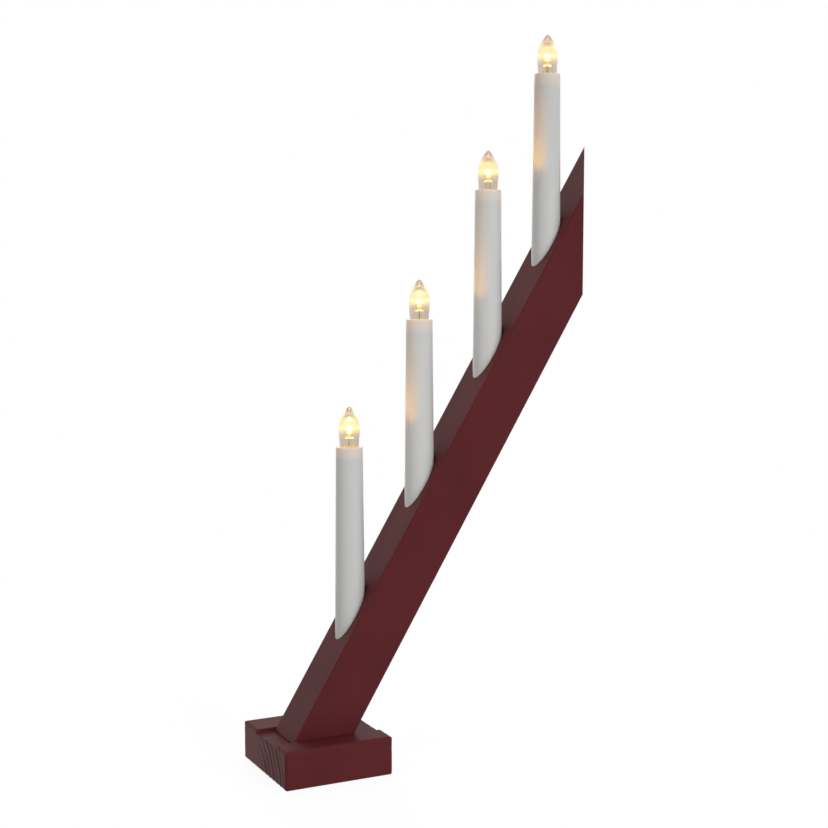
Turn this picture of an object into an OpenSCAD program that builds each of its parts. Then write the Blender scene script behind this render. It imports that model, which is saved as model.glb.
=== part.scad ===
// Leaning wooden Advent candle holder with four electric candles.
// A square foot with a steel ballast carries a slanted beam. Each candle is a white
// sleeve in a plumb hole, with a lampholder and a screw-in LED bulb at its top.
// Millimetres, Z up. The origin is the middle of the face that the foot rests on.

/* [Foot] */
// Length of the foot along the lean of the beam
foot_l = 81; // [76:0.5:110]
// Depth of the foot from front to back
foot_d = 82.5; // [76:0.5:110]
// Height of the foot above the table
foot_h = 28; // [24:0.5:36]
// Rounding of the foot's edges
foot_edge_r = 2; // [0.5:0.1:3]
// Depth of the groove that takes the beam
groove_depth = 2.5; // [1:0.1:4]
// Play of the beam in its groove, on each side
groove_play = 0.4; // [0.1:0.1:1]

/* [Ballast] */
// Wood wall round the ballast pocket
pocket_wall = 3; // [2.5:0.5:8]
// Wood left between the groove and the pocket
web_t = 3; // [2.5:0.5:6]
// Play round the ballast and the felt in the pocket
pocket_play = 0.3; // [0.1:0.1:0.8]
// Thickness of the felt under the ballast
felt_t = 1.2; // [1:0.1:3]
// How far the felt stands below the wood
felt_proud = 0.3; // [0.1:0.1:0.8]

/* [Clamp screws] */
// Shank diameter of the screws that hold ballast, foot and beam together
clamp_d = 5; // [4:0.5:6]
// How far a clamp screw reaches into the beam
clamp_bite = 20.7; // [16:0.1:26]
// Distances of the clamp screws from the beam's heel, on the groove floor
clamp_at = [20, 34]; // [16:1:38]

/* [Beam] */
// Slope of the beam above the table, in degrees
slope = 58.7; // [54:0.1:62]
// Thickness of the beam from front to back
beam_t = 37; // [32:0.5:44]
// Width of the beam across its slope
beam_w = 39; // [37:0.5:48]
// Rounding of the beam's long edges
beam_edge_r = 1.5; // [0.5:0.1:3]
// X where the beam's upper face meets the level of the foot's top
heel_x = -25.6; // [-30:0.1:-20]
// Y of the beam's middle, a little in front of the foot's middle
beam_y = -3.25; // [-5:0.25:5]
// X of the plumb end cut on the beam's middle plane
end_x = 218.7; // [215:0.1:250]
// Angle of the end cut away from square, in degrees
end_mitre = 32.8; // [0:0.1:40]
// Height of the relief round the beam's seat in the groove
heel_relief = 0.6; // [0.3:0.1:1]
// Width of that relief
heel_relief_w = 3; // [2:0.5:6]

/* [Wiring channel] */
// Width of the channel in the beam's underside
channel_w = 18; // [14:0.5:19]
// Depth of the channel below the underside, cover included
channel_depth = 11.5; // [10:0.5:12]
// Thickness of the channel's cover strip
cover_t = 2; // [1.5:0.1:2.5]
// Ledge that the cover rests on, beside and beyond the channel
ledge = 4.5; // [4:0.1:5]
// Play round the cover in its rebate
cover_play = 0.2; // [0.1:0.1:0.5]
// Shank diameter of a cover screw
cover_screw_d = 2.4; // [2:0.1:2.8]
// Length of a cover screw
cover_screw_l = 12; // [8:1:14]
// Rows of cover screws along the beam
cover_screw_rows = 3; // [2:1:6]

/* [Supply inlet] */
// Distance of the inlet up the beam from the heel
inlet_at = 36; // [34:0.5:38]
// Diameter of the inlet's barrel in the beam
inlet_d = 9; // [8.5:0.1:10]
// Length of the barrel in the beam
inlet_l = 12; // [11:0.5:13]
// Diameter of the inlet's flange
inlet_flange_d = 13; // [12:0.5:16]
// Thickness of the inlet's flange
inlet_flange_t = 1.5; // [1:0.1:2]
// Bore that takes the plug
plug_d = 5.6; // [5.5:0.1:5.8]
// Depth of the plug's bore from the flange's face
plug_depth = 9.5; // [9:0.5:10]
// Diameter of the centre pin
inlet_pin_d = 2.1; // [2:0.1:2.5]

/* [Leads] */
// Diameter of a core of the supply lead
core_d = 2; // [1.6:0.1:2.2]
// Diameter of a candle's own lead
lead_d = 1.6; // [1.2:0.1:1.8]
// Distance of each core from the beam's middle plane
lead_y = 3; // [2.5:0.1:3.2]
// Length of the crimp block that joins a lead to a core
crimp_l = 9; // [7:0.5:10]
// Side of the crimp block
crimp_t = 3.2; // [3:0.1:3.6]
// Diameter of the hole that takes a candle's leads to the channel
lead_hole_d = 10; // [9:0.5:11]

/* [Candle sleeves] */
// X of each candle's axis
candle_x = [24.8, 80.2, 136.2, 185.7]; // [15:0.1:200]
// Depth of each candle's hole below the beam's upper face, on the axis
candle_depth = [28.5, 30.5, 29.5, 25.2]; // [24:0.1:32]
// Length of a sleeve
sleeve_l = 148; // [120:1:180]
// Outside diameter of a sleeve at its rim
rim_d = 19.2; // [18.5:0.1:20]
// Outside diameter of a sleeve at its foot
sleeve_foot_d = 21.8; // [20.5:0.1:22.5]
// Wall of a sleeve
sleeve_wall = 1; // [0.8:0.1:1.3]
// Play of a sleeve in its hole, on the radius
sleeve_play = 0.25; // [0.1:0.05:0.5]
// Rounding of the rim
rim_r = 0.8; // [0.3:0.1:0.9]
// Diameter of the recess round the bulb
recess_d = 15.2; // [14.5:0.1:15.6]
// Depth of the recess
recess_depth = 1.2; // [0.8:0.1:2]
// Thickness of the end plate under the recess
plate_t = 1.2; // [0.8:0.1:2]

/* [Lampholders] */
// Play of a lampholder in its sleeve, on the radius
holder_play = 0.15; // [0.1:0.05:0.4]
// Wall under the centre contact
holder_floor = 3; // [2:0.1:5]
// Outside diameter of the screw shell
shell_d = 10.8; // [10.6:0.1:11.4]
// Play of the screw shell in the lampholder, on the radius
shell_play = 0.05; // [0.02:0.01:0.1]
// Diameter of the centre contact's head
contact_d = 5; // [4:0.1:6]
// Thickness of the centre contact's head
contact_t = 0.8; // [0.5:0.1:1.2]
// Diameter of the centre contact's stem
contact_stem_d = 2.5; // [2:0.1:3]
// Thickness of the tags that the leads are soldered to
tag_t = 0.5; // [0.3:0.1:0.8]
// Width of the tags
tag_w = 2; // [1.6:0.1:2.4]

/* [Screw thread] */
// Largest diameter of the thread on a bulb's cap
thread_d = 9.5; // [9.3:0.05:9.6]
// Height of the thread from root to crest
thread_h = 0.5; // [0.4:0.05:0.6]
// Pitch of the thread
thread_pitch = 1.814; // [1.6:0.001:2]
// Play between the cap's thread and the shell's, on the radius
thread_play = 0.2; // [0.18:0.01:0.25]
// Turns of thread in the screw shell
shell_turns = 3; // [2:0.5:4]

/* [Bulbs] */
// Height of a bulb's envelope above the rim
bulb_h = 28.5; // [25:0.5:35]
// Largest diameter of the envelope
bulb_d = 15.1; // [14:0.1:18]
// Diameter of the envelope at its collar
collar_d = 13; // [12:0.1:14]
// Wall of the envelope
envelope_t = 0.9; // [0.6:0.1:1.2]
// Height of the solid tip of the envelope
tip_h = 5.5; // [4:0.5:8]
// Gap between a seated bulb and the recess
seat_gap = 0.3; // [0.2:0.05:0.5]
// Length of the bulb's cap below the envelope
cap_l = 10.6; // [9.5:0.1:11.5]
// Metal thickness of the cap
cap_t = 0.4; // [0.3:0.05:0.5]
// Length of the cap's insulator below the cap
insulator_l = 1.5; // [1:0.1:2]
// Diameter of the solder contact
solder_d = 4.4; // [3:0.1:4.8]
// Length of the solder contact
solder_l = 1; // [0.6:0.1:1.5]
// Gap between the solder contact and the centre contact
contact_gap = 0.1; // [0.05:0.05:0.2]
// Diameter of the LED's lens
led_d = 5; // [3:0.5:5.5]
// Diameter of the LED's flange
led_flange_d = 5.8; // [4:0.1:6.2]
// Height of the LED's flange above the rim
led_z = 5.7; // [4:0.1:8]
// Height of the LED over its flange's lower face
led_h = 8.7; // [6:0.1:9]
// Diameter of an LED lead
led_lead_d = 0.5; // [0.4:0.1:0.8]
// Distance between the LED's two leads
led_lead_gap = 2.54; // [2:0.01:3]
// Way the LED's two leads face in each bulb once it is home
led_turn = [66, 63, -27, 45]; // [-180:1:180]
// Diameter of the resistor in the cap
resistor_d = 1.8; // [1.4:0.1:2]
// Length of the resistor
resistor_l = 3.6; // [3:0.1:4]

/* [Hidden] */
$fn = 64;
candles = [0:len(candle_x) - 1];
candle_pieces = [
    "candle_sleeve", "lampholder", "screw_shell", "centre_contact", "candle_lead",
    "bulb_envelope", "bulb_cap", "cap_insulator", "solder_contact", "led", "led_leads",
    "bulb_resistor"
];

// Overshoot of a cut past the face that it breaks, and a length past every piece
cut = 1;
far = 1000;
// Close clearance of a screw or pin in its hole, on the radius
pilot_play = 0.03;
// Easy clearance of a screw that passes through, on the radius
pass_play = 0.25;

// Foot and ballast
groove_floor = foot_h - groove_depth;
groove_w = beam_t + 2 * groove_play;
pocket_top = groove_floor - web_t;
pocket_l = foot_l - 2 * pocket_wall;
pocket_d = foot_d - 2 * pocket_wall;
clamp_point_l = clamp_d;
clamp_l = groove_floor - felt_t + clamp_bite;
heel_floor_x = heel_x - groove_depth / tan(slope);
clamp_x = [for (a = clamp_at) heel_floor_x + a];

// Levels in the beam's own space, with 0 on its upper face
underside = -beam_w;
channel_top = underside + channel_depth;
cover_top = underside + cover_t;
crimp_gap = 0.2;
crimp_top = channel_top - crimp_gap;
core_level = crimp_top - crimp_t / 2;
inlet_level = cover_top + inlet_d / 2 + crimp_gap;
rear_face = beam_t / 2;
cover_w = channel_w + 2 * ledge;

// Heights of a candle's holder, bulb and contacts, with 0 at its rim
plate_z = -recess_depth - plate_t;
collar_z = -recess_depth + seat_gap;
cap_z = collar_z - cap_l;
insulator_z = cap_z - insulator_l;
solder_z = insulator_z - solder_l;
contact_z = solder_z - contact_gap;
contact_seat_z = contact_z - contact_t;
holder_z = contact_seat_z - holder_floor;
holder_d = rim_d - 2 * (sleeve_wall + holder_play);
tag_z = holder_z - tag_t;
plate_hole_play = 0.5;
plate_hole_d = thread_d + 2 * plate_hole_play;
shell_top_gap = 0.3;
shell_leg_inset = 0.15;

// Screw thread
thread_mid_r = (thread_d - thread_h) / 2;
shell_mid_r = thread_mid_r + thread_play;
thread_sides = 16;
thread_rows = 6;
run_out_rows = 3;
row_h = thread_pitch / thread_rows;
cap_bore_r = thread_d / 2 - thread_h - cap_t;
collar_floor = 1.2;
lip_h = collar_floor;
lip_play = 0.1;
lip_r = cap_bore_r + cap_t - 2 * lip_play;
stopper_h = 1;
stopper_top = cap_z + stopper_h;
resistor_z = stopper_top + stopper_h;

// Height of the beam's upper face at x, and where a candle stands
function upper_z(x) = foot_h + (x - heel_x) * tan(slope);
function hole_floor(i) = upper_z(candle_x[i]) - candle_depth[i];
function rim_z(i) = hole_floor(i) + sleeve_l;
// Distance up the beam of the point at x on a level of the beam's own space
function along(x, level) = (x - heel_x + level * sin(slope)) / cos(slope);
function crimp_at(i) = along(candle_x[i], crimp_top);

inlet_margin = 1;
channel_from = inlet_at - inlet_d / 2 - inlet_margin;
channel_to = crimp_at(len(candle_x) - 1) + crimp_l / 2 + ledge;
cover_from = channel_from - ledge;
cover_l = channel_to - channel_from + 2 * ledge;
cover_screw_step = cover_l / cover_screw_rows;
cover_screw_y = (channel_w + ledge) / 2;

// The envelope follows a smooth curve through these shares of its half width and height
envelope_shape = [
    [0.91, 0], [0.95, 0.2], [1, 0.36], [0.98, 0.48], [0.91, 0.6],
    [0.78, 0.71], [0.55, 0.825], [0.31, 0.915], [0.12, 0.985], [0, 1]
];
envelope_steps = 4;
function curve(a, b, c, d, t) =
    (2 * b + (c - a) * t + (2 * a - 5 * b + 4 * c - d) * t * t
        + (3 * b - a - 3 * c + d) * t * t * t) / 2;
function envelope_knot(k) = envelope_shape[max(0, min(len(envelope_shape) - 1, k))];
envelope_curve = [
    for (k = [0:len(envelope_shape) - 2], s = [0:envelope_steps - 1])
        let (p = curve(envelope_knot(k - 1), envelope_knot(k), envelope_knot(k + 1),
            envelope_knot(k + 2), s / envelope_steps))
        [p[0] * bulb_d / 2, p[1] * bulb_h]
];
envelope_heights = [for (p = envelope_curve) [p[1], p[0]]];
cavity_top = bulb_h - tip_h;
cavity_dome = 3 * envelope_t;
cavity_floor = collar_z + collar_floor;
cavity_rows = 24;
// Half width of the hollow in the envelope, rounded off below the solid tip
function dome(z) = sqrt(max(0, 1 - pow(max(0, z - cavity_top + cavity_dome) / cavity_dome, 2)));
function cavity_r(z) = (lookup(z, envelope_heights) - envelope_t) * dome(z);

// Rectangle with rounded corners, centred on the origin
module rounded_rect(w, h, r) {
    square([w - 2 * r, h], center = true);
    square([w, h - 2 * r], center = true);
    for (sx = [-1, 1], sy = [-1, 1])
        translate([sx * (w / 2 - r), sy * (h / 2 - r)]) circle(r);
}

// Places children in the beam's own space: X up the slope, Z out of its upper face
module beam_space() translate([heel_x, beam_y, foot_h]) rotate([0, -slope, 0]) children();

// Places children on candle i's axis, with Z 0 at its rim
module at_rim(i) translate([candle_x[i], beam_y, rim_z(i)]) children();

// Bar along X from x0 with the section of its children
module bar(x0, l) translate([x0, 0, 0]) rotate([90, 0, 90]) linear_extrude(l) children();

// Places children at each cover screw on the beam's underside, with Z into the beam
module at_cover_screws() {
    for (k = [0:cover_screw_rows - 1], s = [-1, 1])
        translate([cover_from + (k + 0.5) * cover_screw_step, s * cover_screw_y, underside])
            children();
}

// Countersunk wood screw with its head's face on z 0 and its point at z l
module wood_screw(d, l, point_l) {
    cylinder(d1 = 2 * d, d2 = d, h = d / 2);
    cylinder(d = d, h = l - point_l);
    translate([0, 0, l - point_l]) cylinder(d1 = d, d2 = d / 8, h = point_l);
}

// Hole for the head and shank of a countersunk screw
module countersink(d, play) {
    h = d / 2 + play + cut;
    translate([0, 0, -cut]) cylinder(d1 = 2 * (d + play + cut), d2 = d + 2 * play, h = h);
}

// Closed skin through rings of points, the last ring joined to the first
module ring_skin(rings) {
    n = len(rings[0]);
    m = len(rings);
    polyhedron(
        points = [for (ring = rings) each ring],
        faces = [
            for (i = [0:m - 1], j = [0:n - 1])
                let (a = i * n, b = (i + 1) % m * n, k = (j + 1) % n)
                each [[a + j, b + j, b + k], [a + j, b + k, a + k]]
        ]
    );
}

// Ring of points at height z, either plain or with the thread's wave on it
function plain_ring(r, z) =
    [for (j = [0:thread_sides - 1]) let (a = 360 * j / thread_sides) [r * cos(a), r * sin(a), z]];
function thread_ring(mid_r, z, share, side) = [
    for (j = [0:thread_sides - 1])
        let (
            a = 360 * j / thread_sides,
            wave = share * cos(360 * z / thread_pitch - a) + side * (1 - share),
            r = mid_r + wave * thread_h / 2
        )
        [r * cos(a), r * sin(a), z]
];

// Rows of threaded rings between two heights; the thread runs out to side at both ends
function thread_rings(mid_r, z0, z1, side) =
    let (rows = floor(abs(z1 - z0) / row_h))
    [
        for (k = [0:rows])
            let (share = min(1, min(k, rows - k) / run_out_rows))
            thread_ring(mid_r, z0 + k * (z1 - z0) / rows, share, side)
    ];

// Wooden foot with a groove along its top and a ballast pocket below
module foot_block() {
    wood_h = foot_h - felt_proud;
    mid_z = felt_proud + wood_h / 2;
    color("#5a2a2c") difference() {
        intersection() {
            translate([0, 0, mid_z]) linear_extrude(wood_h, center = true)
                rounded_rect(foot_l, foot_d, foot_edge_r);
            translate([0, 0, mid_z]) rotate([90, 0, 0]) linear_extrude(foot_d, center = true)
                rounded_rect(foot_l, wood_h, foot_edge_r);
            translate([0, 0, mid_z]) bar(-foot_l / 2, foot_l) rounded_rect(foot_d, wood_h, foot_edge_r);
        }
        translate([-far / 2, beam_y - groove_w / 2, groove_floor]) cube([far, groove_w, far]);
        translate([-pocket_l / 2, -pocket_d / 2, -cut]) cube([pocket_l, pocket_d, pocket_top + cut]);
        for (x = clamp_x) translate([x, beam_y, 0]) cylinder(d = clamp_d + 2 * pass_play, h = far);
    }
}

// Steel ballast that keeps the leaning holder on its foot
module ballast_block() {
    l = pocket_l - 2 * pocket_play;
    d = pocket_d - 2 * pocket_play;
    color("#6e7073") difference() {
        translate([-l / 2, -d / 2, felt_t]) cube([l, d, pocket_top - felt_t]);
        for (x = clamp_x) translate([x, beam_y, felt_t]) {
            countersink(clamp_d, pass_play);
            cylinder(d = clamp_d + 2 * pass_play, h = far);
        }
    }
}

// Felt sheet that closes the pocket and rests on the table
module base_felt() {
    l = pocket_l - 2 * pocket_play;
    d = pocket_d - 2 * pocket_play;
    color("#3b2224") translate([-l / 2, -d / 2, 0]) cube([l, d, felt_t]);
}

// Screws through ballast and foot into the end of the beam
module clamp_screws() {
    color("#b9bcc0") for (x = clamp_x) translate([x, beam_y, felt_t])
        wood_screw(clamp_d, clamp_l, clamp_point_l);
}

// Ring cut from the beam's lower end, so that the end seats on its middle
module heel_relief_ring() {
    seat_l = beam_w / sin(slope) - 2 * heel_relief_w;
    seat_d = beam_t - 2 * heel_relief_w;
    translate([heel_floor_x, beam_y, groove_floor - cut]) difference() {
        translate([-far / 2, -far / 2, 0]) cube([far, far, heel_relief + cut]);
        translate([heel_relief_w, -seat_d / 2, -cut]) cube([seat_l, seat_d, heel_relief + 3 * cut]);
    }
}

// Slanted wooden beam with plumb candle holes and a wiring channel in its underside
module beam() {
    bar_from = -(beam_w + groove_depth) * 2;
    color("#5a2a2c") difference() {
        beam_space() translate([0, 0, underside / 2]) bar(bar_from, far)
            rounded_rect(beam_t, beam_w, beam_edge_r);
        translate([-far / 2, -far / 2, groove_floor - far]) cube(far);
        heel_relief_ring();
        translate([end_x, beam_y, 0]) rotate([0, 0, -end_mitre]) translate([0, -far / 2, -far / 2])
            cube([far, far, 2 * far]);
        for (i = candles) translate([candle_x[i], beam_y, hole_floor(i)]) {
            cylinder(d = sleeve_foot_d + 2 * sleeve_play, h = far);
            lead_hole_l = (beam_w - channel_depth) / cos(slope) - candle_depth[i]
                + lead_hole_d / 2 * tan(slope);
            translate([0, 0, -lead_hole_l]) cylinder(d = lead_hole_d, h = lead_hole_l + cut);
        }
        beam_space() {
            translate([channel_from, -channel_w / 2, underside - cut])
                cube([channel_to - channel_from, channel_w, channel_depth + cut]);
            translate([cover_from - cover_play, -cover_w / 2 - cover_play, underside - cut])
                cube([cover_l + 2 * cover_play, cover_w + 2 * cover_play, cover_t + cut]);
            at_cover_screws() cylinder(d = cover_screw_d + 2 * pilot_play, h = cover_screw_l + cut);
            translate([inlet_at, 0, inlet_level]) rotate([-90, 0, 0])
                cylinder(d = inlet_d + 2 * pilot_play, h = far);
        }
        for (x = clamp_x) translate([x, beam_y, felt_t])
            cylinder(d = clamp_d + 2 * pilot_play, h = clamp_l + cut);
    }
}

// Wooden strip that closes the wiring channel, flush with the underside
module channel_cover() {
    color("#532527") beam_space() difference() {
        translate([cover_from, -cover_w / 2, underside]) cube([cover_l, cover_w, cover_t]);
        at_cover_screws() {
            countersink(cover_screw_d, pilot_play);
            cylinder(d = cover_screw_d + 2 * pilot_play, h = far);
        }
    }
}

// Countersunk screws of the channel's cover
module cover_screws() {
    color("#b9bcc0") beam_space() at_cover_screws()
        wood_screw(cover_screw_d, cover_screw_l, cover_screw_d);
}

// Places children on the inlet's axis, with Z 0 on the beam's rear face and Z out of it
module at_inlet() {
    beam_space() translate([inlet_at, rear_face, inlet_level]) rotate([-90, 0, 0]) children();
}

inlet_sleeve_t = 0.35;
inlet_bore_r = plug_d / 2 + inlet_sleeve_t;
inlet_tag_r = 0.6;
inlet_tag_y = inlet_bore_r - 1.4 * inlet_tag_r;
inlet_tag_reach = 2 * inlet_tag_r;
inlet_bore_from = inlet_flange_t - plug_depth;

// Push-in low-voltage inlet in the beam's rear face
module inlet_body() {
    color("#26262a") at_inlet() difference() {
        union() {
            translate([0, 0, -inlet_l]) cylinder(d = inlet_d, h = inlet_l);
            cylinder(d = inlet_flange_d, h = inlet_flange_t);
        }
        translate([0, 0, inlet_bore_from]) cylinder(r = inlet_bore_r + pilot_play, h = far);
        translate([0, 0, -far / 2]) cylinder(d = inlet_pin_d + 2 * pilot_play, h = far);
        translate([0, inlet_tag_y, -far / 2])
            cylinder(r = inlet_tag_r + pilot_play, h = far / 2);
    }
}

// Tag from an inlet contact y below the axis up to the end of a core
module inlet_tag(y, tail) {
    rise = core_level - inlet_level;
    w = 2 * inlet_tag_r;
    translate([0, y - inlet_tag_r, -tail]) cube([inlet_tag_reach, w, w]);
    translate([inlet_tag_reach - w, -rise - inlet_tag_r, -tail]) cube([w, rise + y + w, w]);
}

// Centre pin of the inlet with the tag that the first core is soldered to
module inlet_pin() {
    tip_inset = 1;
    tail = rear_face - lead_y + inlet_tag_r;
    color("#c9a24b") at_inlet() {
        translate([0, 0, -tail]) cylinder(d = inlet_pin_d, h = tail + inlet_flange_t - tip_inset);
        inlet_tag(0, tail);
    }
}

// Outer contact of the inlet with the tag of the second core
module inlet_sleeve() {
    mouth_inset = 1;
    pin_gap = 0.5;
    tail = rear_face + lead_y + inlet_tag_r;
    color("#c9a24b") at_inlet() {
        difference() {
            translate([0, 0, inlet_bore_from]) cylinder(r = inlet_bore_r, h = plug_depth - mouth_inset);
            translate([0, 0, inlet_bore_from + inlet_sleeve_t]) cylinder(d = plug_d, h = far);
            translate([0, 0, -far / 2]) cylinder(d = inlet_pin_d + 2 * pin_gap, h = far);
        }
        translate([0, inlet_tag_y, -tail])
            cylinder(r = inlet_tag_r, h = tail + inlet_bore_from + inlet_sleeve_t / 2);
        inlet_tag(inlet_tag_y, tail);
    }
}

core_from = inlet_at + inlet_tag_reach;
core_to = crimp_at(len(candle_x) - 1) + crimp_l / 2;

// Two insulated cores along the channel
module supply_lead() {
    color("#8c8f93") beam_space() for (s = [-1, 1])
        translate([core_from, s * lead_y, core_level]) rotate([0, 90, 0])
            cylinder(d = core_d, h = core_to - core_from);
}

// Crimp blocks that join each candle's leads to the cores
module lead_crimps() {
    color("#d8d4c8") beam_space() for (i = candles, s = [-1, 1])
        difference() {
            translate([crimp_at(i), s * lead_y, core_level])
                cube([crimp_l, crimp_t, crimp_t], center = true);
            translate([core_from, s * lead_y, core_level]) rotate([0, 90, 0])
                cylinder(d = core_d + 2 * pilot_play, h = far);
        }
}

// Pair of leads from a lampholder down to the crimps
module candle_lead(i) {
    color("#dcdcd6") difference() {
        for (s = [-1, 1]) translate([candle_x[i], beam_y + s * lead_y, hole_floor(i) - far])
            cylinder(d = lead_d, h = far + sleeve_l + tag_z);
        beam_space() translate([-far, -far / 2, crimp_top - 2 * far]) cube([4 * far, far, 2 * far]);
    }
}

// White tapered sleeve with a rounded rim and a recess round the bulb
module candle_sleeve(i) {
    rim = rim_d / 2;
    foot = sleeve_foot_d / 2;
    taper = (foot - rim) / sleeve_l;
    arc = [0:15:90];
    color("#ececea") at_rim(i) rotate_extrude() polygon(concat(
        [[foot, -sleeve_l]],
        [for (a = arc) [rim - rim_r * (1 - cos(a)), -rim_r * (1 - sin(a))]],
        [for (a = arc) [recess_d / 2 + rim_r * (1 - sin(a)), -rim_r * (1 - cos(a))]],
        [
            [recess_d / 2, -recess_depth], [plate_hole_d / 2, -recess_depth],
            [plate_hole_d / 2, plate_z], [rim - taper * plate_z - sleeve_wall, plate_z],
            [foot - sleeve_wall, -sleeve_l]
        ]
    ));
}

// Insulating lampholder under the sleeve's end plate
module lampholder(i) {
    shell_r = shell_d / 2 + shell_play;
    head_r = contact_d / 2 + pass_play;
    stem_r = contact_stem_d / 2 + pilot_play;
    color("#f2f0e8") at_rim(i) difference() {
        rotate_extrude() polygon([
            [stem_r, holder_z], [holder_d / 2, holder_z], [holder_d / 2, plate_z],
            [shell_r, plate_z], [shell_r, insulator_z], [head_r, insulator_z],
            [head_r, contact_seat_z], [stem_r, contact_seat_z]
        ]);
        shell_leg(pilot_play, holder_z - cut);
    }
}

// Leg of a screw shell, from its lower end down to z, grown by play on each side
module shell_leg(play, z) {
    overlap = 1;
    translate([-tag_w / 2 - play, -shell_d / 2 + shell_leg_inset - play, z])
        cube([tag_w + 2 * play, tag_t + 2 * play, insulator_z + overlap - z]);
}

// Brass screw shell of a lampholder
module screw_shell(i) {
    top = plate_z - shell_top_gap;
    thread_from = top - shell_turns * thread_pitch;
    root_r = shell_mid_r + thread_h / 2;
    leg_y = shell_d / 2 - shell_leg_inset;
    color("#c9a24b") at_rim(i) {
        ring_skin(concat(
            [plain_ring(shell_d / 2, insulator_z), plain_ring(shell_d / 2, top)],
            thread_rings(shell_mid_r, top, thread_from, 1),
            [plain_ring(root_r, insulator_z)]
        ));
        shell_leg(0, tag_z);
        translate([-tag_w / 2, -leg_y, tag_z]) cube([tag_w, leg_y - lead_y + lead_d / 2, tag_t]);
    }
}

// Brass rivet under the bulb's solder contact, with its tag under the lampholder
module centre_contact(i) {
    color("#c9a24b") at_rim(i) {
        translate([0, 0, contact_seat_z]) cylinder(d = contact_d, h = contact_t);
        translate([0, 0, tag_z])
            cylinder(d = contact_stem_d, h = contact_seat_z - tag_z + contact_t / 2);
        translate([-tag_w / 2, 0, tag_z]) cube([tag_w, lead_y + lead_d / 2, tag_t]);
    }
}

// Clear flame-shaped envelope with a solid tip
module bulb_envelope(i) {
    hole_r = lip_r + lip_play;
    rows = [for (k = [cavity_rows:-1:0]) cavity_floor + k * (cavity_top - cavity_floor) / cavity_rows];
    color("#fff3d6", 0.45) at_rim(i) rotate_extrude() polygon(concat(
        [[hole_r, collar_z], [collar_d / 2, collar_z]],
        envelope_curve,
        [[0, bulb_h]],
        [for (z = rows) [cavity_r(z), z]],
        [[hole_r, cavity_floor]]
    ));
}

// Threaded metal cap of a bulb, with a lip that the envelope is fixed on
module bulb_cap(i) {
    run_out = 0.5;
    color("#c8c2b4") at_rim(i) ring_skin(concat(
        thread_rings(thread_mid_r, cap_z, collar_z - run_out, -1),
        [
            plain_ring(thread_mid_r, collar_z), plain_ring(lip_r, collar_z),
            plain_ring(lip_r, collar_z + lip_h), plain_ring(cap_bore_r, collar_z + lip_h),
            plain_ring(cap_bore_r, cap_z)
        ]
    ));
}

// Dark insulator that closes the lower end of a cap
module cap_insulator(i) {
    stopper_play = 0.1;
    stopper_r = cap_bore_r * cos(180 / thread_sides) - stopper_play;
    color("#1c1a1a") at_rim(i) rotate_extrude() polygon([
        [0, insulator_z], [solder_d / 2, insulator_z], [thread_d / 2 - thread_h, cap_z],
        [stopper_r, cap_z], [stopper_r, stopper_top], [0, stopper_top]
    ]);
}

// Solder contact at the lowest point of a bulb
module solder_contact(i) {
    color("#b8bcc2") at_rim(i) rotate_extrude() polygon([
        [0, insulator_z], [solder_d / 2, insulator_z], [solder_d / 2, insulator_z - solder_l / 2],
        [solder_d / 4, solder_z], [0, solder_z]
    ]);
}

// LED with its flange and domed lens
module led(i) {
    flange_t = 1;
    color("#ffe9a8") at_rim(i) translate([0, 0, led_z]) {
        cylinder(d = led_flange_d, h = flange_t);
        cylinder(d = led_d, h = led_h - led_d / 2);
        translate([0, 0, led_h - led_d / 2]) sphere(d = led_d);
    }
}

// The LED's two leads, one down to the cap's insulator and one down to the resistor
module led_leads(i) {
    ends = [[-1, stopper_top], [1, resistor_z + resistor_l]];
    color("#c9a24b") at_rim(i) rotate([0, 0, led_turn[i]]) for (end = ends)
        translate([end[0] * led_lead_gap / 2, 0, end[1]])
            cylinder(d = led_lead_d, h = led_z - end[1]);
}

// Series resistor of the LED, in the cap, with its lower wire
module bulb_resistor(i) {
    color("#b9a06a") at_rim(i) rotate([0, 0, led_turn[i]]) translate([led_lead_gap / 2, 0, 0]) {
        translate([0, 0, resistor_z]) cylinder(d = resistor_d, h = resistor_l);
        translate([0, 0, stopper_top])
            cylinder(d = led_lead_d, h = resistor_z - stopper_top + resistor_l / 2);
    }
}

foot_block();
ballast_block();
base_felt();
clamp_screws();
beam();
channel_cover();
cover_screws();
inlet_body();
inlet_pin();
inlet_sleeve();
supply_lead();
lead_crimps();
for (i = candles) {
    candle_sleeve(i);
    lampholder(i);
    screw_shell(i);
    centre_contact(i);
    candle_lead(i);
    bulb_envelope(i);
    bulb_cap(i);
    cap_insulator(i);
    solder_contact(i);
    led(i);
    led_leads(i);
    bulb_resistor(i);
}
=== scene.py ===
import math

import bmesh
import bpy
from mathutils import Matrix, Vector, noise


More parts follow.
